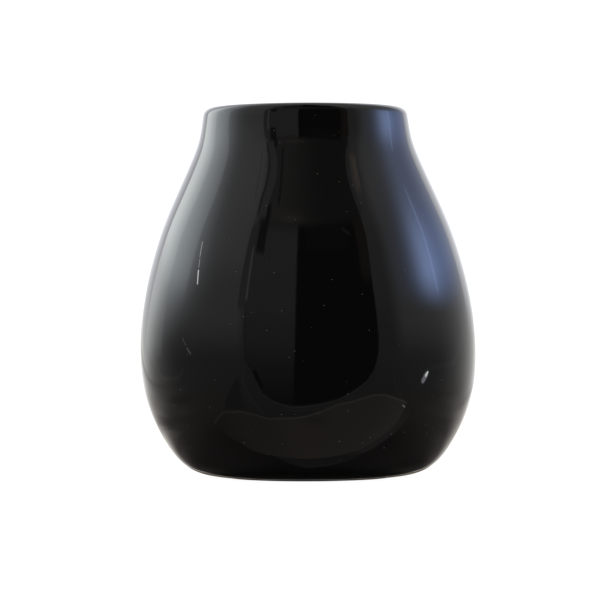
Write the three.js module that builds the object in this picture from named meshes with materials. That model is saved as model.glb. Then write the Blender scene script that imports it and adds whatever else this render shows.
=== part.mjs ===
// A gourd-shaped mate cup of black glazed stoneware: one thrown and fired piece, empty, with no
// handle and no lid. A short upright neck with a rounded lip opens into a sloping shoulder and a low,
// full belly, which turns in quickly to a small foot with a shallow recess under it.
//
// Millimetres, +Z up. The origin is at the middle of the foot, on the surface that the cup stands on.

import * as THREE from "three";

// The overall sizes of the cup.
const HEIGHT = 100;
const BELLY_RADIUS = 45.5;
const NECK_RADIUS = 27.74;

// The lip is rounded more on its outside than on its inside, and is as thick as the two together.
const LIP_OUTER_ROUND = 2.5;
const LIP_INNER_ROUND = 1.7;

// The outside passes through these stations. A slope is the change of radius for each millimetre up.
const NECK = { height: 97.91, radius: NECK_RADIUS, slope: -0.166 };
const THROAT = { height: 89, radius: 29.55, slope: -0.402 };
const SHOULDER = { height: 65, radius: 39.8, slope: -0.324 };
const BELLY = { height: 33.7, radius: BELLY_RADIUS, slope: 0 };
const HEEL = { height: 7, radius: 37.07, slope: 0.721 };

// From the heel the outside sweeps in to the foot's edge, which it meets at a low angle.
const FOOT_EDGE_RADIUS = 28.4;
const FOOT_EDGE_HEIGHT = 1.05;
const FOOT_EDGE_ANGLE = 0.24;
const HEEL_SWEEP = 3.7;

// The foot is a flat ring with a sloping edge, round a shallow dished recess.
const FOOT_RING_OUTER = 24.4;
const FOOT_RING_INNER = 20.6;
const RECESS_EDGE_RADIUS = 19.4;
const RECESS_EDGE_HEIGHT = 1.5;
const RECESS_MIDDLE_HEIGHT = 2.1;

// The wall is measured square to its surface, and is a little thicker low down.
const SHOULDER_WALL = 4.5;
const BELLY_WALL = 4.9;
const THROAT_WALL = 4.3;

// The inside turns from the wall to a floor that dips a little in the middle.
const INNER_HEEL = { height: 15.5, radius: 36.4, slope: 0.66 };
const FLOOR_EDGE_RADIUS = 21;
const FLOOR_EDGE_HEIGHT = 7.2;
const FLOOR_MIDDLE_HEIGHT = 6.8;
const INNER_HEEL_SWEEP = 5.2;

// How finely each stretch of the outline and the circle round the axis are divided.
const ROUND_STEPS = 64;
const LIP_OUTER_STEPS = 5;
const LIP_INNER_STEPS = 4;
const NECK_STEPS = 3;
const SHOULDER_STEPS = 5;
const BELLY_STEPS = 7;
const UNDER_BELLY_STEPS = 7;
const HEEL_STEPS = 6;

// An outline point: x is the radius and y is the height, as LatheGeometry has them.
const at = (radius, height) => new THREE.Vector2(radius, height);

// A smooth curve between two stations, which keeps the slope of each.
function between(upper, lower, steps) {
  const third = (upper.height - lower.height) / 3;
  const curve = new THREE.CubicBezierCurve(
    at(upper.radius, upper.height),
    at(upper.radius - upper.slope * third, upper.height - third),
    at(lower.radius + lower.slope * third, lower.height + third),
    at(lower.radius, lower.height),
  );
  return curve.getPoints(steps);
}

// A quarter of the lip, from one angle to another, about a centre in the outline's plane.
function lipArc(centreRadius, centreHeight, round, fromAngle, toAngle, steps) {
  const clockwise = toAngle < fromAngle;
  const arc = new THREE.EllipseCurve(centreRadius, centreHeight, round, round, fromAngle, toAngle, clockwise);
  return arc.getPoints(steps);
}

// The turn from a station on the wall to a flatter edge further in, met at a given angle.
function turnIn(station, edgeRadius, edgeHeight, edgeAngle, sweep, steps) {
  const run = Math.hypot(station.slope, 1);
  const curve = new THREE.CubicBezierCurve(
    at(station.radius, station.height),
    at(station.radius - (sweep * station.slope) / run, station.height - sweep / run),
    at(edgeRadius + sweep * Math.cos(edgeAngle), edgeHeight + sweep * Math.sin(edgeAngle)),
    at(edgeRadius, edgeHeight),
  );
  return curve.getPoints(steps);
}

// The same station on the inside of a wall of the given thickness.
function inside(station, wall) {
  const across = wall * Math.hypot(station.slope, 1);
  return { height: station.height, radius: station.radius - across, slope: station.slope };
}

// The outside, from the top of the lip down to the foot.
function outerOutline(lipRadius) {
  const neckAngle = Math.atan(-NECK.slope);
  return [
    ...lipArc(lipRadius, HEIGHT - LIP_OUTER_ROUND, LIP_OUTER_ROUND, Math.PI / 2, neckAngle, LIP_OUTER_STEPS),
    ...between(NECK, THROAT, NECK_STEPS),
    ...between(THROAT, SHOULDER, SHOULDER_STEPS),
    ...between(SHOULDER, BELLY, BELLY_STEPS),
    ...between(BELLY, HEEL, UNDER_BELLY_STEPS),
    ...turnIn(HEEL, FOOT_EDGE_RADIUS, FOOT_EDGE_HEIGHT, FOOT_EDGE_ANGLE, HEEL_SWEEP, HEEL_STEPS),
    at(FOOT_RING_OUTER, 0),
  ];
}

// The underside, from the foot's ring to the axis.
function underOutline() {
  return [
    at(FOOT_RING_INNER, 0),
    at(RECESS_EDGE_RADIUS, RECESS_EDGE_HEIGHT),
    at(0, RECESS_MIDDLE_HEIGHT),
  ];
}

// The inside, from the middle of the floor up to the top of the lip.
function innerOutline(lipRadius) {
  const mouth = {
    height: HEIGHT - LIP_INNER_ROUND,
    radius: lipRadius - LIP_INNER_ROUND,
    slope: 0,
  };
  const throat = inside(THROAT, THROAT_WALL);
  const shoulder = inside(SHOULDER, SHOULDER_WALL);
  const belly = inside(BELLY, BELLY_WALL);
  const down = [
    ...lipArc(lipRadius, mouth.height, LIP_INNER_ROUND, Math.PI / 2, Math.PI, LIP_INNER_STEPS),
    ...between(mouth, throat, NECK_STEPS),
    ...between(throat, shoulder, SHOULDER_STEPS),
    ...between(shoulder, belly, BELLY_STEPS),
    ...between(belly, INNER_HEEL, UNDER_BELLY_STEPS),
    ...turnIn(INNER_HEEL, FLOOR_EDGE_RADIUS, FLOOR_EDGE_HEIGHT, 0, INNER_HEEL_SWEEP, HEEL_STEPS),
    at(0, FLOOR_MIDDLE_HEIGHT),
  ];
  return down.reverse();
}

// Drops each point that repeats the one before it, where two stretches meet.
function withoutRepeats(points) {
  const closest = 0.02;
  return points.filter((point, i) => i === 0 || point.distanceTo(points[i - 1]) > closest);
}

// The whole section, from the axis under the foot, up the outside, over the lip and down to the floor.
function cupGeometry() {
  const lipRadius = NECK.radius - LIP_OUTER_ROUND * Math.cos(Math.atan(-NECK.slope));
  const section = [
    ...innerOutline(lipRadius),
    ...outerOutline(lipRadius),
    ...underOutline(),
  ];
  // LatheGeometry wants the section turned the other way for faces that point out.
  return new THREE.LatheGeometry(withoutRepeats(section).reverse(), ROUND_STEPS);
}

const blackGlaze = new THREE.MeshStandardMaterial({
  color: 0x0b0b0c,
  roughness: 0.07,
  metalness: 0,
});

const cup = new THREE.Mesh(cupGeometry(), blackGlaze);
cup.name = "cup";

// LatheGeometry turns its section about Y, and the cup stands along Z.
cup.rotation.x = Math.PI / 2;

const mateCup = new THREE.Group();
mateCup.add(cup);

export default mateCup;
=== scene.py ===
# A gourd-shaped mate cup of black glazed stoneware, empty, standing in a light tent.
#
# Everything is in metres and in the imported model's own frame: +Z up, the origin at the middle of
# the foot, and the photograph's view along +Y. Directions round the cup are in degrees: an azimuth
# of 0 is towards the camera and 90 is to its right, and an elevation is above the level.

import math

import bmesh
import bpy
from mathutils import Matrix, Vector, noise


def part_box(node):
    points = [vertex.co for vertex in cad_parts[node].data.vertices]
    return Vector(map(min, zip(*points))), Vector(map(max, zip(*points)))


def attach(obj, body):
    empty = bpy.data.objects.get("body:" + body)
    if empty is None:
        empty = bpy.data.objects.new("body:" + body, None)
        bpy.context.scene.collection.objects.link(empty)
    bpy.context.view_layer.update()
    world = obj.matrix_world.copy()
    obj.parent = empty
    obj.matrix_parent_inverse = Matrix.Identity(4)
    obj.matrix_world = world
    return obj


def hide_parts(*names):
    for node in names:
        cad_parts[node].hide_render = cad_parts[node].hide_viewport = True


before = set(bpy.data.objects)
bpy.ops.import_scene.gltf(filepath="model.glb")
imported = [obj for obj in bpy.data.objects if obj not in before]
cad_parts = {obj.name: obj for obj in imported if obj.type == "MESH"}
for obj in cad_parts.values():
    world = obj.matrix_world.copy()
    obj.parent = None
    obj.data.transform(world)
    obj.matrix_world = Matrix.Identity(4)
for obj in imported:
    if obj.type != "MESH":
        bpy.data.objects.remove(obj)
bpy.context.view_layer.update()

cup_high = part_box("cup")[1]

MM = 0.001

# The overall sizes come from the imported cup.
HEIGHT = cup_high.z
BELLY_RADIUS = cup_high.x

# The lip is rounded more on its outside than on its inside, and is as thick as the two together.
LIP_OUTER_ROUND = 2.5 * MM
LIP_INNER_ROUND = 1.7 * MM

# The outside passes through these stations: height, radius, and change of radius for each unit up.
NECK = (97.91 * MM, 27.74 * MM, -0.166)
THROAT = (89 * MM, 29.55 * MM, -0.402)
SHOULDER = (65 * MM, 39.8 * MM, -0.324)
BELLY = (33.7 * MM, BELLY_RADIUS, 0)
HEEL = (7 * MM, 37.07 * MM, 0.721)

# From the heel the outside sweeps in under the cup to a narrow flat foot ring, which stands round
# a shallow dished recess.
HEEL_SWEEP = 8.2 * MM
FOOT_SWEEP = 4.8 * MM
FOOT_ANGLE = 0.16
FOOT_RING_OUTER = 22.4 * MM
FOOT_RING_INNER = 19.9 * MM
RECESS_EDGE_RADIUS = 18.8 * MM
RECESS_EDGE_HEIGHT = 1.5 * MM
RECESS_MIDDLE_HEIGHT = 2.1 * MM

# The glaze stops short of the foot ring, higher at the sides than at the front and the back, and
# stands this far proud of the raw clay. The larger the power, the later the line climbs.
GLAZE_LINE = 0.6 * MM
GLAZE_LINE_AT_SIDES = 3.2 * MM
GLAZE_LINE_POWER = 2.5
GLAZE_LINE_WANDER = 0.35 * MM
GLAZE_THICKNESS = 0.16 * MM

# The wall's thickness, square to its surface.
THROAT_WALL = 4.3 * MM
SHOULDER_WALL = 4.5 * MM
BELLY_WALL = 4.9 * MM

# The inside turns from the wall to a floor that dips a little in the middle.
INNER_HEEL = (15.5 * MM, 36.4 * MM, 0.66)
INNER_HEEL_SWEEP = 5.2 * MM
FLOOR_EDGE_RADIUS = 21 * MM
FLOOR_EDGE_HEIGHT = 7.2 * MM
FLOOR_MIDDLE_HEIGHT = 6.8 * MM

# How finely the outline and the circle round the axis are divided.
STEP_ALONG_WALL = 1.1 * MM
STEPS_ROUND = 168

# The wall's curve is evened out this many times, and only this far clear of the lip and the heel.
EASE_ROUNDS = 6
EASE_CLEARANCE = 1.5 * MM

# The cup was thrown and fired a little out of true: it leans to the left by this much for each
# unit of height, it is slightly oval, and its wall is gently uneven.
LEAN = 0.0079
OVALITY = 0.0012
OVAL_TURN = math.radians(35)
UNEVEN = 0.07 * MM
UNEVEN_SPACING = 22 * MM

# The light tent is a sphere about the middle of the cup. The lamps' lower limits are given at this
# many degrees round from the door.
TENT_RADIUS = 300 * MM
SIDE_POST = 120

# The fabric's folds rise from this many degrees round from the door, by this much for the square of
# each degree further, and level off after this many more.
FOLDS_START = 85
FOLDS_RISE = 0.0035
FOLDS_LEVEL_AFTER = 78

# How bright the plain white round the cup and the table top are, and the table top's size. The
# discs that shade the foot lie just over it.
SKY_STRENGTH = 1.12
TABLE_GLOW = 0.975
TABLE_RADIUS = 3.0
SHADE_HEIGHT = 0.02 * MM

# The camera stands at the cup's mid height and looks level at it.
CAMERA_DISTANCE = 850 * MM
CAMERA_HEIGHT = 50 * MM
CAMERA_AIM = Vector((-2.4 * MM, 0, 47.9 * MM))
CAMERA_LENS = 187.9
CAMERA_ROLL = math.radians(0.25)


# Outline

def at(radius, height):
    """A point of the outline, which lies in the plane of X and Z."""
    return Vector((radius, 0, height))


def bezier(start, start_handle, end_handle, end, steps):
    """Points along a cubic curve, both ends included."""
    points = []
    for i in range(steps + 1):
        t = i / steps
        u = 1 - t
        points.append(
            start * u ** 3 + start_handle * (3 * u * u * t) + end_handle * (3 * u * t * t) + end * t ** 3
        )
    return points


def between(upper, lower):
    """A smooth curve from one station down to another, which keeps the slope of each."""
    upper_height, upper_radius, upper_slope = upper
    lower_height, lower_radius, lower_slope = lower
    third = (upper_height - lower_height) / 3
    steps = max(3, round(3 * third / STEP_ALONG_WALL))
    return bezier(
        at(upper_radius, upper_height),
        at(upper_radius - upper_slope * third, upper_height - third),
        at(lower_radius + lower_slope * third, lower_height + third),
        at(lower_radius, lower_height),
        steps,
    )


def turn_in(station, edge, edge_angle, sweep, edge_sweep, steps=14):
    """The turn from a station on the wall to a flatter edge further in, met at a given angle."""
    height, radius, slope = station
    run = math.hypot(slope, 1)
    return bezier(
        at(radius, height),
        at(radius - sweep * slope / run, height - sweep / run),
        edge + at(math.cos(edge_angle), math.sin(edge_angle)) * edge_sweep,
        edge,
        steps,
    )


def arc(centre, round_radius, start, end, steps):
    """Points along an arc about a centre, from one angle to another, both ends included."""
    points = []
    for i in range(steps + 1):
        angle = start + (end - start) * i / steps
        points.append(centre + at(math.cos(angle), math.sin(angle)) * round_radius)
    return points


def inside(station, wall):
    """The same station on the inside of a wall of the given thickness."""
    height, radius, slope = station
    return height, radius - wall * math.hypot(slope, 1), slope


def lip_centre_radius():
    """The radius of the circle that the lip's crest lies on."""
    neck_angle = math.atan(-NECK[2])
    return NECK[1] - LIP_OUTER_ROUND * math.cos(neck_angle)


def outer_outline():
    """The outside from the top of the lip down to the foot ring."""
    neck_angle = math.atan(-NECK[2])
    centre = at(lip_centre_radius(), HEIGHT - LIP_OUTER_ROUND)
    return [
        *arc(centre, LIP_OUTER_ROUND, math.pi / 2, neck_angle, 10),
        *between(NECK, THROAT),
        *between(THROAT, SHOULDER),
        *between(SHOULDER, BELLY),
        *between(BELLY, HEEL),
        *turn_in(HEEL, at(FOOT_RING_OUTER, 0), FOOT_ANGLE, HEEL_SWEEP, FOOT_SWEEP, steps=20),
    ]


def foot_outline():
    """The flat ring that the cup stands on, and the wall of the recess."""
    return [
        at((FOOT_RING_OUTER + FOOT_RING_INNER) / 2, 0),
        at(FOOT_RING_INNER, 0),
        at(RECESS_EDGE_RADIUS + 0.25 * MM, RECESS_EDGE_HEIGHT - 0.4 * MM),
    ]


def recess_outline():
    """The glazed recess under the foot, out to its middle."""
    edge = at(RECESS_EDGE_RADIUS, RECESS_EDGE_HEIGHT)
    middle = at(0, RECESS_MIDDLE_HEIGHT)
    return [
        at(RECESS_EDGE_RADIUS + 0.2 * MM, RECESS_EDGE_HEIGHT - 0.25 * MM),
        at(RECESS_EDGE_RADIUS - 0.3 * MM, RECESS_EDGE_HEIGHT + 0.05 * MM),
        *[edge.lerp(middle, i / 8) for i in range(1, 9)],
    ]


def inner_outline():
    """The inside from the top of the lip down to the middle of the floor."""
    throat = inside(THROAT, THROAT_WALL)
    mouth = (HEIGHT - LIP_INNER_ROUND, lip_centre_radius() - LIP_INNER_ROUND, 0)
    centre = at(lip_centre_radius(), mouth[0])
    floor_edge = at(FLOOR_EDGE_RADIUS, FLOOR_EDGE_HEIGHT)
    floor_middle = at(0, FLOOR_MIDDLE_HEIGHT)
    return [
        *arc(centre, LIP_INNER_ROUND, math.pi / 2, math.pi, 8),
        *between(mouth, throat),
        *between(throat, inside(SHOULDER, SHOULDER_WALL)),
        *between(inside(SHOULDER, SHOULDER_WALL), inside(BELLY, BELLY_WALL)),
        *between(inside(BELLY, BELLY_WALL), INNER_HEEL),
        *turn_in(INNER_HEEL, floor_edge, 0, INNER_HEEL_SWEEP, INNER_HEEL_SWEEP),
        *[floor_edge.lerp(floor_middle, i / 8) for i in range(1, 9)],
    ]


# Cup

def draw_outline(bm):
    """Joins the whole section into one chain of edges, from the floor's middle to the recess's."""
    points = [
        *reversed(inner_outline()),
        *outer_outline(),
        *foot_outline(),
        *recess_outline(),
    ]
    verts = [bm.verts.new(point) for point in points]
    for one, other in zip(verts, verts[1:]):
        bm.edges.new((one, other))
    bmesh.ops.remove_doubles(bm, verts=bm.verts, dist=0.01 * MM)


def ease_wall(bm):
    """Evens out how the wall curves from one stretch of the outline to the next."""
    wall = []
    for vert in bm.verts:
        clear_of_lip = vert.co.z < NECK[0] - EASE_CLEARANCE
        clear_of_heel = vert.co.z > HEEL[0] + EASE_CLEARANCE
        if clear_of_lip and clear_of_heel:
            wall.append(vert)
    for _ in range(EASE_ROUNDS):
        bmesh.ops.smooth_vert(bm, verts=wall, factor=0.5, use_axis_x=True, use_axis_z=True)


def out_of_true(place):
    """Where a point of a true cup lies on this one, which is a little uneven and leans."""
    turn = math.atan2(place.y, place.x)
    radius = math.hypot(place.x, place.y)
    lift = min(1, place.z / HEEL[0])
    swell = radius * OVALITY * math.cos(2 * (turn - OVAL_TURN))
    swell += UNEVEN * noise.noise(place / UNEVEN_SPACING)
    moved = radius + swell * lift if radius > 1 * MM else radius
    return Vector((
        moved * math.cos(turn) - LEAN * place.z,
        moved * math.sin(turn),
        place.z,
    ))


def make_cup(glaze):
    """The whole cup as one closed skin: outside, lip, inside, foot and recess."""
    bm = bmesh.new()
    draw_outline(bm)
    ease_wall(bm)
    bmesh.ops.spin(
        bm,
        geom=bm.verts[:] + bm.edges[:],
        cent=(0, 0, 0),
        axis=(0, 0, 1),
        angle=2 * math.pi,
        steps=STEPS_ROUND,
        use_merge=True,
    )
    bmesh.ops.remove_doubles(bm, verts=bm.verts, dist=0.005 * MM)
    bmesh.ops.recalc_face_normals(bm, faces=bm.faces)
    for face in bm.faces:
        face.smooth = True
    for vert in bm.verts:
        vert.co = out_of_true(vert.co)
    mesh = bpy.data.meshes.new("glazed_cup")
    bm.to_mesh(mesh)
    bm.free()
    mesh.materials.append(glaze)
    cup = bpy.data.objects.new("glazed_cup", mesh)
    bpy.context.scene.collection.objects.link(cup)
    return cup


# Node helpers

def new_material(name):
    """A material with only its output and one Principled shader, and the two of them."""
    material = bpy.data.materials.new(name)
    material.use_nodes = True
    tree = material.node_tree
    tree.nodes.clear()
    shader = tree.nodes.new("ShaderNodeBsdfPrincipled")
    output = tree.nodes.new("ShaderNodeOutputMaterial")
    tree.links.new(shader.outputs["BSDF"], output.inputs["Surface"])
    return material, tree, shader


def plug(tree, value, socket):
    """Links a socket, or sets a number or colour, as the input's value."""
    if isinstance(value, bpy.types.NodeSocket):
        tree.links.new(value, socket)
    else:
        socket.default_value = value


def calculate(tree, operation, *values):
    """One step of arithmetic."""
    node = tree.nodes.new("ShaderNodeMath")
    node.operation = operation
    for value, socket in zip(values, node.inputs):
        plug(tree, value, socket)
    return node.outputs[0]


def soft_step(tree, value, low, high):
    """0 where the value is under low, 1 where it is over high, and smooth between."""
    node = tree.nodes.new("ShaderNodeMapRange")
    node.interpolation_type = "SMOOTHSTEP"
    plug(tree, value, node.inputs["Value"])
    plug(tree, low, node.inputs["From Min"])
    plug(tree, high, node.inputs["From Max"])
    return node.outputs["Result"]


def blend_colours(tree, amount, under, over):
    """One colour laid over another."""
    node = tree.nodes.new("ShaderNodeMix")
    node.data_type = "RGBA"
    plug(tree, amount, node.inputs["Factor"])
    for value, name in ((under, "A"), (over, "B")):
        socket = next(s for s in node.inputs if s.name == name and s.type == "RGBA")
        plug(tree, value if isinstance(value, bpy.types.NodeSocket) else (*value, 1), socket)
    return next(s for s in node.outputs if s.type == "RGBA")


def blotches(tree, place, spacing, detail=2, roughness=0.5):
    """Smooth random patches of the given spacing, from 0 to 1."""
    node = tree.nodes.new("ShaderNodeTexNoise")
    node.inputs["Scale"].default_value = 1 / spacing
    node.inputs["Detail"].default_value = detail
    node.inputs["Roughness"].default_value = roughness
    plug(tree, place, node.inputs["Vector"])
    return node.outputs[0]


def specks(tree, place, spacing, size, share):
    """Small round specks: a share of the cells of the given spacing holds one of about that size."""
    node = tree.nodes.new("ShaderNodeTexVoronoi")
    node.inputs["Scale"].default_value = 1 / spacing
    plug(tree, place, node.inputs["Vector"])
    near = soft_step(tree, node.outputs["Distance"], size / spacing, 0.5 * size / spacing)
    pick = tree.nodes.new("ShaderNodeSeparateColor")
    plug(tree, node.outputs["Color"], pick.inputs["Color"])
    chosen = calculate(tree, "LESS_THAN", pick.outputs["Red"], share)
    return calculate(tree, "MULTIPLY", near, chosen)


def scratch(tree, place, start, end, width):
    """1 along a short straight scratch between two points in millimetres, and 0 away from it."""

    def vector_step(operation, *values):
        node = tree.nodes.new("ShaderNodeVectorMath")
        node.operation = operation
        for value, socket in zip(values, node.inputs):
            plug(tree, value, socket)
        return node

    origin = Vector(start) * MM
    along = Vector(end) * MM - origin
    from_start = vector_step("SUBTRACT", place, origin).outputs["Vector"]
    forward = vector_step("DOT_PRODUCT", from_start, along / along.length_squared).outputs["Value"]
    share = calculate(tree, "MINIMUM", calculate(tree, "MAXIMUM", forward, 0), 1)
    nearest = vector_step("SCALE", along)
    plug(tree, share, nearest.inputs["Scale"])
    distance = vector_step("DISTANCE", from_start, nearest.outputs["Vector"]).outputs["Value"]
    return soft_step(tree, distance, 0.6 * width, 0.4 * width)


def bump(tree, height, depth, under=None):
    """A bump of the given depth in metres, on top of another if there is one."""
    node = tree.nodes.new("ShaderNodeBump")
    node.inputs["Strength"].default_value = 1
    node.inputs["Distance"].default_value = depth
    plug(tree, height, node.inputs["Height"])
    if under is not None:
        plug(tree, under, node.inputs["Normal"])
    return node.outputs["Normal"]


# Materials

BLACK_GLAZE = (0.0008, 0.0008, 0.0008)
THIN_GLAZE = (0.050, 0.032, 0.022)
DUST = (0.11, 0.105, 0.10)
# Pale grey for the scuffs and for the painted glint of light through a gap in the tent.
WORN_AND_GLINT = (0.46, 0.46, 0.47)
CLAY = (0.150, 0.112, 0.075)
STAINED_CLAY = (0.052, 0.037, 0.026)

# The glaze's refraction, its roughness where clean, and what smears, dust and bare clay add to that.
GLAZE_IOR = 1.5
CLEAN_ROUGHNESS = 0.02
SMEAR_ADDS = 0.05
DUST_ADDS = 0.3
CLAY_ADDS = 0.8

# How deep the glaze's slow ripple and its pits are, and the clay's grain.
RIPPLE_DEPTH = 0.006 * MM
PIT_DEPTH = 0.05 * MM
GRAIN_DEPTH = 0.06 * MM


def object_place(tree):
    """The point on the object, and its parts across, along and up."""
    coordinates = tree.nodes.new("ShaderNodeTexCoord")
    place = coordinates.outputs["Object"]
    parts = tree.nodes.new("ShaderNodeSeparateXYZ")
    plug(tree, place, parts.inputs["Vector"])
    return place, parts.outputs


def above_glaze_line(tree, place, parts):
    """How far above the lower edge of the glaze a point is, and its distance from the axis."""
    across = calculate(tree, "MULTIPLY", parts["X"], parts["X"])
    squares = calculate(tree, "MULTIPLY_ADD", parts["Y"], parts["Y"], across)
    sideways = calculate(tree, "DIVIDE", across, squares)
    sideways = calculate(tree, "POWER", sideways, GLAZE_LINE_POWER)
    line = calculate(tree, "MULTIPLY_ADD", sideways, GLAZE_LINE_AT_SIDES - GLAZE_LINE, GLAZE_LINE)
    wander = calculate(tree, "SUBTRACT", blotches(tree, place, spacing=7 * MM), 0.5)
    line = calculate(tree, "MULTIPLY_ADD", wander, GLAZE_LINE_WANDER, line)
    return calculate(tree, "SUBTRACT", parts["Z"], line), calculate(tree, "SQRT", squares)


def wear_and_glint_marks(tree, place):
    """A painted glint, two faint scuffs and a small pale tick in the front of the glaze.

    Each is its two ends and its width, in millimetres, and how strong it is.
    """
    marks = (
        # The first three paint the reflection of light through a gap in the tent, a broken streak
        # brightest at its lower end; the last three are two faint scuffs and a small pale tick.
        ((-27.8, -29.8, 63.3), (-28.5, -30.8, 59.4), 0.24, 0.45),
        ((-28.5, -31.0, 58.8), (-28.7, -31.5, 56.6), 0.22, 0.4),
        ((-28.8, -31.7, 55.8), (-29.0, -32.5, 52.3), 0.40, 0.9),
        ((-33.0, -31.4, 38.1), (-32.2, -32.3, 36.3), 0.30, 0.06),
        ((-31.8, -32.7, 35.5), (-30.9, -33.6, 34.1), 0.50, 0.07),
        ((24.0, -36.7, 21.0), (24.8, -35.7, 20.0), 0.22, 0.35),
    )
    worn_and_glint = 0
    for start, end, width, strength in marks:
        mark = calculate(tree, "MULTIPLY", scratch(tree, place, start, end, width * MM), strength)
        worn_and_glint = calculate(tree, "MAXIMUM", worn_and_glint, mark)
    return worn_and_glint


def make_glaze():
    """Deep black gloss glaze, brown where it runs thin over the lip. The foot is bare, gritty clay."""
    material, tree, shader = new_material("black_glaze")
    place, parts = object_place(tree)

    wander = blotches(tree, place, spacing=4 * MM)
    shifted = calculate(tree, "MULTIPLY_ADD", wander, 0.5 * MM, parts["Z"])
    lip = soft_step(tree, shifted, HEIGHT + 0.02 * MM, HEIGHT + 0.3 * MM)
    colour = blend_colours(tree, lip, BLACK_GLAZE, THIN_GLAZE)
    dust = specks(tree, place, spacing=1.9 * MM, size=0.13 * MM, share=0.35)
    colour = blend_colours(tree, dust, colour, DUST)
    # Pale scuffs, and a painted glint: the reflection of light through a gap in the tent.
    colour = blend_colours(tree, wear_and_glint_marks(tree, place), colour, WORN_AND_GLINT)

    above_line, radius = above_glaze_line(tree, place, parts)
    under_line = soft_step(tree, above_line, 0.06 * MM, -0.06 * MM)
    outside_recess = soft_step(tree, radius, RECESS_EDGE_RADIUS, RECESS_EDGE_RADIUS + 0.3 * MM)
    raw = calculate(tree, "MULTIPLY", under_line, outside_recess)
    mottle = blotches(tree, place, spacing=2.2 * MM, detail=4, roughness=0.65)
    grit = specks(tree, place, spacing=0.9 * MM, size=0.2 * MM, share=0.3)
    stain = calculate(tree, "MAXIMUM", soft_step(tree, mottle, 0.5, 0.72), grit)
    clay = blend_colours(tree, stain, CLAY, STAINED_CLAY)
    colour = blend_colours(tree, raw, colour, clay)
    plug(tree, colour, shader.inputs["Base Color"])

    smear = blotches(tree, place, spacing=14 * MM, detail=4, roughness=0.6)
    roughness = calculate(tree, "MULTIPLY_ADD", smear, SMEAR_ADDS, CLEAN_ROUGHNESS)
    roughness = calculate(tree, "MULTIPLY_ADD", dust, DUST_ADDS, roughness)
    roughness = calculate(tree, "MULTIPLY_ADD", raw, CLAY_ADDS, roughness)
    plug(tree, roughness, shader.inputs["Roughness"])
    shader.inputs["IOR"].default_value = GLAZE_IOR

    ripple = blotches(tree, place, spacing=3.2 * MM, detail=1)
    normal = bump(tree, ripple, RIPPLE_DEPTH)
    pits = specks(tree, place, spacing=5.5 * MM, size=0.16 * MM, share=0.35)
    normal = bump(tree, calculate(tree, "SUBTRACT", 1, pits), PIT_DEPTH, normal)
    grain = blotches(tree, place, spacing=0.35 * MM, detail=3, roughness=0.6)
    normal = bump(tree, calculate(tree, "MULTIPLY", grain, raw), GRAIN_DEPTH, normal)
    edge = soft_step(tree, above_line, -0.05 * MM, 0.22 * MM)
    normal = bump(tree, edge, GLAZE_THICKNESS, normal)
    plug(tree, normal, shader.inputs["Normal"])
    return material


# Light

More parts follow.
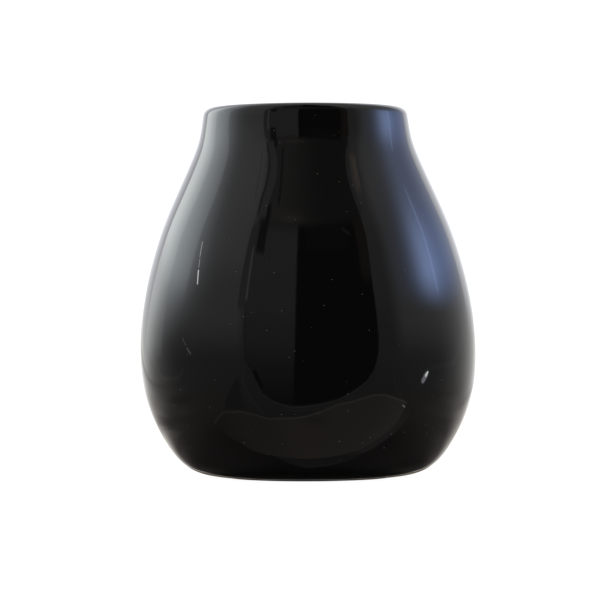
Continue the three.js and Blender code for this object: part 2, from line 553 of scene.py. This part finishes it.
class TentLight:
    """What the glaze mirrors from each direction: lights and panels, painted one over the other."""

    def __init__(self, tree):
        self.tree = tree
        place = tree.nodes.new("ShaderNodeTexCoord")
        direction = tree.nodes.new("ShaderNodeVectorMath")
        direction.operation = "NORMALIZE"
        plug(tree, place.outputs["Object"], direction.inputs[0])
        self.direction = direction.outputs["Vector"]
        parts = tree.nodes.new("ShaderNodeSeparateXYZ")
        plug(tree, self.direction, parts.inputs["Vector"])
        towards_camera = calculate(tree, "MULTIPLY", parts.outputs["Y"], -1)
        turn = calculate(tree, "ARCTAN2", parts.outputs["X"], towards_camera)
        self.azimuth = calculate(tree, "DEGREES", turn)
        self.round_back = calculate(tree, "ABSOLUTE", self.azimuth)
        self.elevation = calculate(tree, "DEGREES", calculate(tree, "ARCSINE", parts.outputs["Z"]))
        self.colour = (0, 0, 0)

    def colours_along(self, angle, stops, interpolation="EASE"):
        """A colour that changes with an angle. Each stop is the angle, then one grey or three values."""
        node = self.tree.nodes.new("ShaderNodeValToRGB")
        ramp = node.color_ramp
        ramp.interpolation = interpolation
        while len(ramp.elements) < len(stops):
            ramp.elements.new(0.5)
        brightest = max(max(stop[1:]) for stop in stops)
        for element, (where, *levels) in zip(ramp.elements, stops):
            red, green, blue = levels if len(levels) == 3 else levels * 3
            element.position = (where + 90) / 180
            element.color = (red / brightest, green / brightest, blue / brightest, 1)
        share = calculate(self.tree, "MULTIPLY_ADD", angle, 1 / 180, 0.5)
        plug(self.tree, share, node.inputs["Fac"])
        scale = self.tree.nodes.new("ShaderNodeVectorMath")
        scale.operation = "SCALE"
        plug(self.tree, node.outputs["Color"], scale.inputs[0])
        scale.inputs["Scale"].default_value = brightest
        return scale.outputs[0]

    def by_elevation(self, *stops):
        """A colour that changes smoothly with elevation."""
        return self.colours_along(self.elevation, stops)

    def over(self, *stops):
        """How far above an edge a direction is. The edge runs straight between (azimuth, elevation)s."""
        raised = [(azimuth, elevation + 90) for azimuth, elevation in stops]
        edge = self.colours_along(self.azimuth, raised, "LINEAR")
        return calculate(self.tree, "SUBTRACT", calculate(self.tree, "ADD", self.elevation, 90), edge)

    def right_of(self, *stops):
        """How far to the right of an edge a direction is. The edge runs between (elevation, azimuth)s."""
        moved = [(elevation, azimuth + 90) for elevation, azimuth in stops]
        edge = self.colours_along(self.elevation, moved, "LINEAR")
        return calculate(self.tree, "SUBTRACT", calculate(self.tree, "ADD", self.azimuth, 90), edge)

    def band(self, value, low, high, blur):
        """1 between low and high, and 0 outside them."""
        rise = soft_step(self.tree, value, low - blur, low + blur)
        fall = soft_step(self.tree, value, high + blur, high - blur)
        return calculate(self.tree, "MULTIPLY", rise, fall)

    def window(self, azimuth, elevation, blur):
        """A soft-edged rectangle. Each of the three is a pair: across and up."""
        across = self.band(self.azimuth, *azimuth, blur[0])
        up = self.band(self.elevation, *elevation, blur[1])
        return calculate(self.tree, "MULTIPLY", across, up)

    def from_centre(self, centre, size):
        """The square of how far off a centre a direction is, where 1 is on the oval of that size."""
        tree = self.tree
        across = calculate(tree, "DIVIDE", calculate(tree, "SUBTRACT", self.azimuth, centre[0]), size[0])
        up = calculate(tree, "DIVIDE", calculate(tree, "SUBTRACT", self.elevation, centre[1]), size[1])
        return calculate(tree, "MULTIPLY_ADD", across, across, calculate(tree, "MULTIPLY", up, up))

    def oval(self, centre, size, blur=0.02):
        """An oval with a soft edge. The blur is a share of its size."""
        distance = calculate(self.tree, "SQRT", self.from_centre(centre, size))
        return soft_step(self.tree, distance, 1 + blur, 1 - blur)

    def glow(self, centre, size):
        """A glow that fades out smoothly all round."""
        squares = self.from_centre(centre, size)
        return calculate(self.tree, "EXPONENT", calculate(self.tree, "MULTIPLY", squares, -1))

    def above(self, level, fall, blur):
        """1 above a level that falls by so much for each degree further round to the back."""
        lowered = calculate(self.tree, "MULTIPLY_ADD", self.round_back, fall, self.elevation)
        line = level + fall * SIDE_POST
        return soft_step(self.tree, lowered, line - blur, line + blur)

    def line(self, start, end, width, blur=0.5):
        """A straight streak from one direction to another."""
        tree = self.tree
        along = (end[0] - start[0], end[1] - start[1])
        length = math.hypot(*along)
        across = calculate(tree, "SUBTRACT", self.azimuth, start[0])
        up = calculate(tree, "SUBTRACT", self.elevation, start[1])
        forward = calculate(tree, "MULTIPLY", across, along[0] / length)
        forward = calculate(tree, "MULTIPLY_ADD", up, along[1] / length, forward)
        nearest = calculate(tree, "MINIMUM", calculate(tree, "MAXIMUM", forward, 0), length)
        beyond = calculate(tree, "SUBTRACT", forward, nearest)
        aside = calculate(tree, "MULTIPLY", across, -along[1] / length)
        aside = calculate(tree, "MULTIPLY_ADD", up, along[0] / length, aside)
        squares = calculate(tree, "MULTIPLY", beyond, beyond)
        squares = calculate(tree, "MULTIPLY_ADD", aside, aside, squares)
        distance = calculate(tree, "SQRT", squares)
        return soft_step(tree, distance, width / 2 + blur, width / 2 - blur)

    def both(self, *masks):
        """Where all the masks meet."""
        together = masks[0]
        for mask in masks[1:]:
            together = calculate(self.tree, "MULTIPLY", together, mask)
        return together

    def paint(self, colour, mask):
        """Lays a colour over what is painted so far."""
        self.colour = blend_colours(self.tree, mask, self.colour, colour)

    def shine(self, colour, mask):
        """Adds light to what is painted so far."""
        node = self.tree.nodes.new("ShaderNodeVectorMath")
        node.operation = "MULTIPLY_ADD"
        for value, socket in zip((colour, mask, self.colour), node.inputs):
            plug(self.tree, value, socket)
        self.colour = node.outputs[0]


def paint_fabric(light):
    """The white fabric at the sides and the back, which darkens and warms towards the table."""
    light.colour = light.by_elevation(
        (-90, 0.034, 0.030, 0.030),
        (-50, 0.083, 0.074, 0.071),
        (-25, 0.185, 0.172, 0.165),
        (-8, 0.20, 0.198, 0.202),
        (10, 0.45),
        (30, 0.50),
        (60, 0.60),
    )
    back = light.by_elevation(
        (-90, 0.02),
        (-40, 0.012),
        (-28, 0.15, 0.137, 0.128),
        (-18, 0.76, 0.72, 0.67),
        (-6, 1.24, 1.23, 1.21),
        (10, 0.96, 0.97, 0.98),
        (55, 0.40),
        (90, 0.60),
    )
    light.paint(back, soft_step(light.tree, light.round_back, 89, 167))


def paint_left_lamp(light):
    """A broad neutral lamp behind the fabric at the left."""
    over_table = light.above(level=1, fall=0.32, blur=12)
    towards_back = light.glow(centre=(-128, 29), size=(15, 38))
    light.shine((1.60, 1.70, 1.70), light.both(towards_back, over_table))
    towards_door = light.glow(centre=(-102, 22), size=(21, 22))
    light.shine((1.64, 1.83, 1.93), light.both(towards_door, over_table))
    whole_pane = light.window(azimuth=(-141, -91), elevation=(13, 56), blur=(1.5, 5))
    light.shine((0.50, 0.55, 0.56), whole_pane)
    back_pane = light.window(azimuth=(-139, -113.5), elevation=(10.5, 50), blur=(1.5, 6))
    light.shine((0.42, 0.42, 0.42), back_pane)
    below_pane = light.window(azimuth=(-140, -111), elevation=(-4, 8), blur=(1.5, 3))
    light.shine((0.17, 0.17, 0.17), below_pane)


def paint_right_lamp(light):
    """A smaller, bluer lamp behind the fabric at the right, with a bright seam down it."""
    over_table = light.above(level=10.2, fall=0.1, blur=5.5)
    core = light.glow(centre=(95, 17.6), size=(13, 15.3))
    light.shine((1.39, 1.83, 3.09), light.both(core, over_table))
    spread = light.glow(centre=(107, 12.6), size=(28, 19.4))
    light.shine((0.33, 0.64, 1.65), light.both(spread, over_table))
    seam = light.line(start=(101, 13), end=(105, 32), width=1.4, blur=1.4)
    light.shine((0.55, 0.80, 1.33), seam)


def paint_back_board(light):
    """The board behind the cup, whose left edge shows as a thin dark seam."""
    board = light.both(
        soft_step(light.tree, light.round_back, 138, 141),
        light.band(light.elevation, 4, 60, 7),
    )
    light.paint((1.36, 1.39, 1.48), board)
    left_edge = light.window(azimuth=(-141, -138.6), elevation=(0, 52), blur=(1, 6))
    light.paint((1.2, 1.2, 1.25), left_edge)


def paint_folds(light):
    """Soft folds where the fabric meets the table. They rise towards the back, with the table's edge."""
    tree = light.tree
    past_start = calculate(tree, "SUBTRACT", light.round_back, FOLDS_START)
    past_start = calculate(tree, "MAXIMUM", past_start, 0)
    past_start = calculate(tree, "SMOOTH_MIN", past_start, FOLDS_LEVEL_AFTER, 30)
    rise = calculate(tree, "MULTIPLY", calculate(tree, "MULTIPLY", past_start, past_start), FOLDS_RISE)
    draped = calculate(tree, "SUBTRACT", light.elevation, rise)

    table = light.both(soft_step(tree, draped, -42, -50), soft_step(tree, light.round_back, 130, 150))
    light.paint((0.05, 0.047, 0.045), table)

    where = tree.nodes.new("ShaderNodeCombineXYZ")
    plug(tree, calculate(tree, "MULTIPLY", light.azimuth, 1 / 75), where.inputs["X"])
    plug(tree, calculate(tree, "MULTIPLY", draped, 1 / 5.5), where.inputs["Y"])
    waves = blotches(tree, where.outputs["Vector"], 1, detail=1)
    ridges = soft_step(tree, waves, 0.48, 0.66)
    hollows = soft_step(tree, waves, 0.46, 0.32)
    hanging = light.both(
        light.band(draped, -37, -15, blur=4),
        soft_step(tree, light.round_back, 80, 98),
        soft_step(tree, light.round_back, 179, 165),
    )
    brighter = light.both(hanging, soft_step(tree, light.round_back, 70, 165))
    at_left = calculate(tree, "MULTIPLY_ADD", soft_step(tree, light.azimuth, 60, -60), 0.6, 0.4)
    light.shine((0.20, 0.185, 0.165), light.both(ridges, brighter, at_left))
    half_at_left = calculate(tree, "MULTIPLY", at_left, 0.5)
    light.paint((0.12, 0.11, 0.105), light.both(hollows, hanging, half_at_left))
    left_hem = ((-127, -5), (-111, -12.5), (-95, -13.5), (-88, -10))
    for start, end in zip(left_hem, left_hem[1:]):
        light.shine((0.07, 0.065, 0.06), light.line(start, end, width=1.2, blur=1))
    right_hem = ((86, -9), (110, -7), (126, 1))
    for start, end in zip(right_hem, right_hem[1:]):
        light.shine((0.05, 0.048, 0.045), light.line(start, end, width=1.4, blur=1.2))


def door_foot(light):
    """How far above the door's rounded foot a direction is."""
    return light.over(
        (-90, 60), (-41, 12), (-40, -7), (-36, -11), (-32.5, -20), (-30, -25), (-25, -29), (-18, -32.3),
        (-10, -34), (-4, -34.1), (3, -33.2), (12, -31.4), (21, -28.6), (27, -25.2), (33, -20.8),
        (38, -16.5), (42, -11.5), (45, -4), (47, 12), (90, 60),
    )


def paint_front(light):
    """The fabric round the door and above it, with a hem along the door's rounded foot."""
    tree = light.tree
    wall = light.by_elevation((-60, 0.10), (-25, 0.155), (0, 0.20), (25, 0.27), (60, 0.36))
    light.paint(wall, light.both(
        soft_step(tree, light.azimuth, -46, -38),
        soft_step(tree, light.azimuth, 67, 54),
        soft_step(tree, light.elevation, 66, 50),
    ))
    beside_lamp = light.window(azimuth=(-72, -44), elevation=(24, 56), blur=(8, 6))
    light.shine((0.12, 0.11, 0.13), beside_lamp)
    over_door = light.window(azimuth=(-44, 50), elevation=(51, 74), blur=(3, 4))
    light.paint((0.05, 0.045, 0.04), over_door)
    above_crease = light.over((-90, -58), (-60, -29), (-40, -9), (90, -9))
    creased = light.both(
        soft_step(tree, above_crease, 0.7, -0.7),
        light.window(azimuth=(-61, -45), elevation=(-44, -14), blur=(2.5, 4)),
    )
    light.paint((0.122, 0.117, 0.117), creased)

    above_foot = door_foot(light)
    around = soft_step(tree, light.elevation, -6, -12)
    light.paint((0.135, 0.132, 0.133), light.both(light.band(above_foot, -3.0, 0, 0.6), around))
    light.paint((0.235, 0.23, 0.225), light.both(light.band(above_foot, -1.7, -0.8, 0.45), around))
    light.paint((0.215, 0.21, 0.205), light.both(
        light.band(above_foot, -3.6, -3.0, 0.45),
        soft_step(tree, light.azimuth, -24, -12),
        soft_step(tree, light.azimuth, 36, 26),
    ))
    seams = (
        ((-43, -16), (-39.5, -27)), ((-39.5, -27), (-33, -38)),
        ((55, -13), (59, -20)), ((59, -20), (67, -26)),
    )
    for start, end in seams:
        light.shine((0.05, 0.05, 0.049), light.line(start, end, width=0.8, blur=0.6))


def paint_room(light):
    """The dim room that the camera looks out of, paler at its left and dark under its ceiling."""
    tree = light.tree
    inside_left = soft_step(tree, light.azimuth, -41, -39)
    inside_right = light.right_of(
        (-90, 46.5), (15, 45.7), (23, 45.7), (33, 47.3), (42, 47.2), (45, 46), (47.5, 44.8), (49, 43),
        (90, 43),
    )
    opening = light.both(
        soft_step(tree, door_foot(light), -0.4, 0.4),
        inside_left,
        soft_step(tree, inside_right, 0.6, -0.6),
    )
    light.paint((0.036, 0.032, 0.034), opening)
    paler = light.by_elevation(
        (-34, 0.055), (-24, 0.075), (-12, 0.115), (5, 0.20), (15, 0.25), (34, 0.26), (42, 0.13),
    )
    slanted = calculate(tree, "MULTIPLY_ADD", light.elevation, -0.04, light.azimuth)
    light.paint(paler, light.both(soft_step(tree, slanted, -7.5, -9.3), opening))
    dark_corner = light.line(start=(-34, -12.5), end=(-30, -21), width=2.4, blur=0.5)
    light.paint((0.042, 0.038, 0.045), dark_corner)
    brown_side = light.window(azimuth=(39, 50), elevation=(22, 42), blur=(2, 3))
    light.paint((0.11, 0.09, 0.08), light.both(brown_side, opening))

    under_ceiling = light.window(azimuth=(-1, 32), elevation=(31, 38), blur=(2, 1))
    light.paint((0.05, 0.045, 0.045), under_ceiling)
    glint = light.line(start=(29, 36.5), end=(34, 34.5), width=0.9, blur=0.7)
    light.shine((0.13, 0.11, 0.07), glint)

    ceiling = light.both(light.band(light.elevation, 39, 60, 2.5), opening)
    light.paint((0.092, 0.086, 0.083), ceiling)
    light.shine((0.130, 0.124, 0.120), light.both(soft_step(tree, light.azimuth, 20, -34), ceiling))
    light.shine((0.12, 0.095, 0.08), light.glow(centre=(-12, 41.5), size=(9, 1.8)))


def paint_door_frame(light):
    """The strips and seams down both sides of the door, which show best below the cup's neck."""
    tree = light.tree
    low = light.band(light.elevation, 12, 38, 2)
    high = light.band(light.elevation, 40, 60, 2)
    beyond = light.right_of(
        (-90, -45.8), (23, -45.7), (33, -44.8), (41, -43.5), (44, -43.7), (46.5, -42), (48, -40.2),
        (49.5, -38.5), (90, -38.5),
    )
    pale_inner_strip = light.window(azimuth=(-35, -27.3), elevation=(45, 60), blur=(0.6, 1))
    light.paint((0.20, 0.195, 0.19), pale_inner_strip)
    dark_inner_strip = light.window(azimuth=(-26.6, -24.4), elevation=(45, 60), blur=(0.7, 1))
    light.paint((0.10, 0.095, 0.095), dark_inner_strip)
    dark_object = light.window(azimuth=(-38, -31.5), elevation=(29, 44.6), blur=(0.8, 1))
    light.paint((0.085, 0.08, 0.08), dark_object)
    light.paint((0.28, 0.275, 0.28), light.both(light.band(beyond, 0, 5, 0.5), low))
    bright_seam = light.window(azimuth=(-40.6, -39.5), elevation=(15, 30), blur=(0.4, 1))
    light.paint((0.66, 0.66, 0.69), bright_seam)
    light.paint((0.335, 0.33, 0.335), light.both(light.band(beyond, 1.5, 8.6, 0.5), high))
    light.paint((0.185, 0.18, 0.185), light.both(light.band(beyond, 0, 1.9, 0.4), high))
    outer_seam = light.window(azimuth=(-49.7, -48.9), elevation=(44, 60), blur=(0.4, 1))
    light.paint((0.43, 0.42, 0.43), outer_seam)

    outer = light.right_of(
        (-90, 46.5), (33, 47.3), (42, 47.2), (45, 46), (47.5, 44.8), (49, 43), (90, 43),
    )
    light.paint((0.245, 0.24, 0.245), light.both(light.band(outer, 0.6, 3.4, 0.5), high))
    light.paint((0.66, 0.56, 0.46), light.both(
        soft_step(tree, light.azimuth, 47.5, 55),
        soft_step(tree, light.azimuth, 57, 56.2),
        light.band(light.elevation, 45.5, 62, 1.5),
    ))
    right_seam = light.window(azimuth=(57.2, 58.4), elevation=(43, 58), blur=(0.4, 2))
    light.paint((0.32, 0.31, 0.31), right_seam)


def paint_table_sheet(light):
    """The warm paper on the table in front, with a pale far edge and a fold along its right side."""
    tree = light.tree
    under_paper = light.both(
        light.oval(centre=(0, -33), size=(79, 41), blur=0.02),
        soft_step(tree, light.azimuth, 44, 60),
        soft_step(tree, light.elevation, -31.5, -33.5),
    )
    light.paint((0.19, 0.172, 0.168), under_paper)
    above_edge = light.over(
        (-90, -38), (-78, -38), (-64, -33.2), (-50, -34.2), (-40, -37.4), (-30, -41), (-10, -41.6),
        (0, -40.2), (10, -37), (20, -32.3), (30, -29.6), (38, -26.4), (44, -24.4), (52, -23.8), (72, -27),
        (90, -27),
    )
    sheet = light.both(
        light.oval(centre=(-3, -33), size=(75, 38.5), blur=0.012),
        soft_step(tree, above_edge, 0.4, -0.4),
        soft_step(tree, light.azimuth, 72.4, 71.6),
    )
    paper = light.colours_along(light.azimuth, (
        (-80, 0.12, 0.11, 0.10),
        (-45, 0.195, 0.172, 0.153),
        (0, 0.250, 0.215, 0.185),
        (45, 0.245, 0.224, 0.208),
        (72, 0.29, 0.268, 0.258),
    ))
    light.paint(paper, sheet)
    smudge = calculate(tree, "MULTIPLY", light.glow(centre=(6, -43.5), size=(9, 3.5)), 0.45)
    light.paint((0.12, 0.115, 0.11), light.both(smudge, sheet))
    light.shine((0.16, 0.155, 0.15), light.both(sheet, light.band(above_edge, -1.2, -0.4, 0.5)))


def paint_gap(light):
    """Daylight through a small gap in the fabric at the right."""
    slit = light.line(start=(82.2, -12.6), end=(80.4, -15.0), width=3.0, blur=0.4)
    light.paint((2.3, 2.15, 2.6), slit)
    brightest = light.line(start=(83.4, -11.3), end=(82.0, -12.8), width=1.0, blur=0.4)
    light.paint((12, 13, 12.5), brightest)


def make_tent():
    """The light tent round the cup. Only the glaze sees it, as its mirror image."""
    material = bpy.data.materials.new("tent_light")
    material.use_nodes = True
    tree = material.node_tree
    tree.nodes.clear()
    light = TentLight(tree)
    paint_fabric(light)
    paint_left_lamp(light)
    paint_right_lamp(light)
    paint_back_board(light)
    paint_folds(light)
    paint_front(light)
    paint_room(light)
    paint_door_frame(light)
    paint_table_sheet(light)
    paint_gap(light)
    glowing = tree.nodes.new("ShaderNodeEmission")
    output = tree.nodes.new("ShaderNodeOutputMaterial")
    plug(tree, light.colour, glowing.inputs["Color"])
    plug(tree, glowing.outputs["Emission"], output.inputs["Surface"])
    material.cycles.emission_sampling = "NONE"

    bm = bmesh.new()
    bmesh.ops.create_icosphere(bm, subdivisions=5, radius=TENT_RADIUS)
    mesh = bpy.data.meshes.new("light_tent")
    bm.to_mesh(mesh)
    bm.free()
    mesh.materials.append(material)
    tent = bpy.data.objects.new("light_tent", mesh)
    tent.location = (0, 0, HEIGHT / 2)
    bpy.context.scene.collection.objects.link(tent)
    tent.visible_camera = False
    tent.visible_diffuse = False
    tent.visible_transmission = False
    tent.visible_volume_scatter = False
    tent.visible_shadow = False


def make_sky():
    """Plain soft white all round, which the picture's background is too."""
    world = bpy.data.worlds.new("white_sky")
    bpy.context.scene.world = world
    world.use_nodes = True
    sky = world.node_tree.nodes["Background"]
    sky.inputs["Color"].default_value = (1, 1, 1, 1)
    sky.inputs["Strength"].default_value = SKY_STRENGTH


# Studio

def make_floor():
    """A plain pale table top. The tent's own front sheet stands for it in the gloss."""
    material, tree, shader = new_material("pale_table")
    shader.inputs["Base Color"].default_value = (0.10, 0.10, 0.10, 1)
    shader.inputs["Roughness"].default_value = 1
    shader.inputs["Specular IOR Level"].default_value = 0
    shader.inputs["Emission Color"].default_value = (1, 1, 1, 1)
    shader.inputs["Emission Strength"].default_value = TABLE_GLOW
    material.cycles.emission_sampling = "NONE"
    bm = bmesh.new()
    bmesh.ops.create_circle(bm, cap_ends=True, segments=96, radius=TABLE_RADIUS)
    mesh = bpy.data.meshes.new("table_top")
    bm.to_mesh(mesh)
    bm.free()
    mesh.materials.append(material)
    floor = bpy.data.objects.new("table_top", mesh)
    bpy.context.scene.collection.objects.link(floor)
    floor.visible_glossy = False


def make_contact_shade(name, radius, blur, depth, forward):
    """A dark disc just over the table, for the shade under the cup that its foot and glaze see."""
    material, tree, shader = new_material(name)
    shader.inputs["Base Color"].default_value = (0, 0, 0, 1)
    shader.inputs["Roughness"].default_value = 1
    shader.inputs["Specular IOR Level"].default_value = 0
    parts = object_place(tree)[1]
    squares = calculate(tree, "MULTIPLY", parts["X"], parts["X"])
    squares = calculate(tree, "MULTIPLY_ADD", parts["Y"], parts["Y"], squares)
    cover = soft_step(tree, calculate(tree, "SQRT", squares), radius + blur, radius - blur)
    plug(tree, calculate(tree, "MULTIPLY", cover, depth), shader.inputs["Alpha"])
    bm = bmesh.new()
    bmesh.ops.create_circle(bm, cap_ends=True, segments=96, radius=radius + blur)
    mesh = bpy.data.meshes.new(name)
    bm.to_mesh(mesh)
    bm.free()
    mesh.materials.append(material)
    shade = bpy.data.objects.new(name, mesh)
    shade.location = (0, -forward, SHADE_HEIGHT)
    bpy.context.scene.collection.objects.link(shade)
    shade.visible_camera = False
    shade.visible_shadow = False
    return shade


def make_camera():
    """The photograph's view, level and turned by a hair."""
    camera = bpy.data.cameras.new("camera")
    camera.lens = CAMERA_LENS
    camera.sensor_width = 36
    view = bpy.data.objects.new("camera", camera)
    place = Vector((0, -CAMERA_DISTANCE, CAMERA_HEIGHT))
    look = (CAMERA_AIM - place).to_track_quat("-Z", "Y").to_matrix().to_4x4()
    view.matrix_world = Matrix.Translation(place) @ look @ Matrix.Rotation(-CAMERA_ROLL, 4, "Z")
    bpy.context.scene.collection.objects.link(view)
    bpy.context.scene.camera = view


make_camera()
make_sky()
make_tent()
make_floor()
on_clay = make_contact_shade("shade_on_clay", radius=27 * MM, blur=3 * MM, depth=1, forward=0)
on_clay.visible_glossy = False
in_gloss = make_contact_shade(
    "shade_in_gloss", radius=28 * MM, blur=1.8 * MM, depth=0.75, forward=5.2 * MM,
)
in_gloss.visible_diffuse = False
bpy.context.scene.view_settings.view_transform = "Standard"

cup = make_cup(make_glaze())
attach(cup, "root")
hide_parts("cup")
